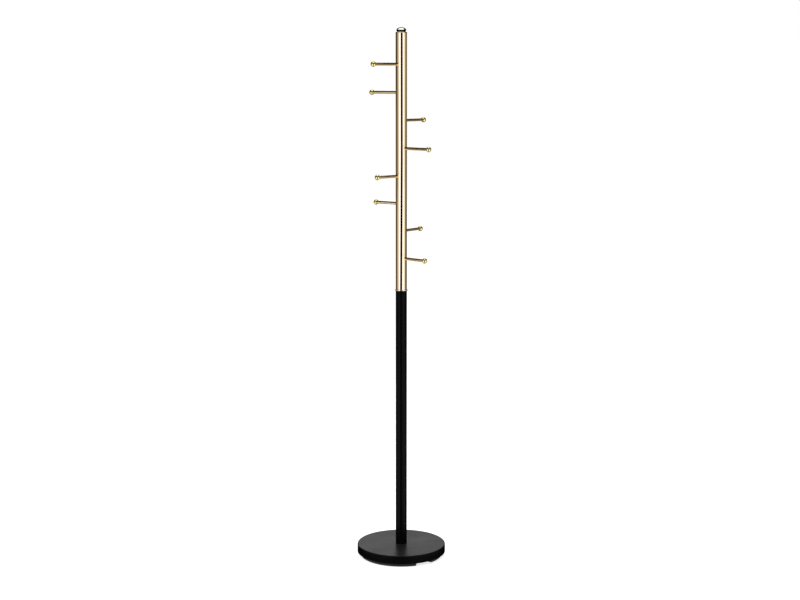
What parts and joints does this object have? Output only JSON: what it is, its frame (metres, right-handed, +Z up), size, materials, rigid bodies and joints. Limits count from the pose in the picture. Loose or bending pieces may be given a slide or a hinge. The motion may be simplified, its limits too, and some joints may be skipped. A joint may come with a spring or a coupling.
{
  "type": "coat rack",
  "caption": "Standing coat rack: weighted round black base, black lower tube, ring at the joint, brass-coloured upper tube with round horizontal pegs and a knob on top.",
  "frame": {"origin": "centre of the base's footprint on the floor, on the pole's axis", "axes": "+Z up along the pole; the front of the rack, with the open gap between two feet on its right-hand side, faces -Y; +X is to the right seen from the front"},
  "size_m": [0.3, 0.3, 1.78],
  "materials": {
    "black_coat": "fine matt black powder coat on pressed steel",
    "black_tube": "satin black powder coat on steel tube",
    "concrete": "cast concrete ballast",
    "tray_plastic": "black moulded plastic",
    "foot_rubber": "matt black rubber",
    "zinc_steel": "zinc-plated steel",
    "plain_steel": "turned steel",
    "brass_tube": "polished brass-coloured plating",
    "brass_pegs": "polished brass-coloured plating",
    "brass_fittings": "polished brass-coloured plating, a little yellower"
  },
  "bodies": {
    "root": {"base_cover": "black_coat", "base_weight": "concrete", "base_tray": "tray_plastic", "foot_pad_1": "foot_rubber", "foot_pad_2": "foot_rubber", "foot_pad_3": "foot_rubber", "base_washer": "zinc_steel", "base_bolt": "zinc_steel", "lower_tube": "black_tube", "lower_tube_foot_plug": "plain_steel", "lower_tube_head_plug": "plain_steel", "joint_stud": "zinc_steel", "collar_ring": "brass_fittings", "upper_tube": "brass_tube", "upper_tube_plug": "plain_steel", "tube_end_cap": "brass_tube", "knob_stud": "zinc_steel", "top_knob": "brass_fittings", "peg_rod_1": "brass_pegs", "peg_ball_1": "brass_fittings", "peg_rod_2": "brass_pegs", "peg_ball_2": "brass_fittings", "peg_rod_3": "brass_pegs", "peg_ball_3": "brass_fittings", "peg_rod_4": "brass_pegs", "peg_ball_4": "brass_fittings", "peg_rod_5": "brass_pegs", "peg_ball_5": "brass_fittings", "peg_rod_6": "brass_pegs", "peg_ball_6": "brass_fittings", "peg_rod_7": "brass_pegs", "peg_ball_7": "brass_fittings", "peg_rod_8": "brass_pegs", "peg_ball_8": "brass_fittings"}
  },
  "joints": []
}
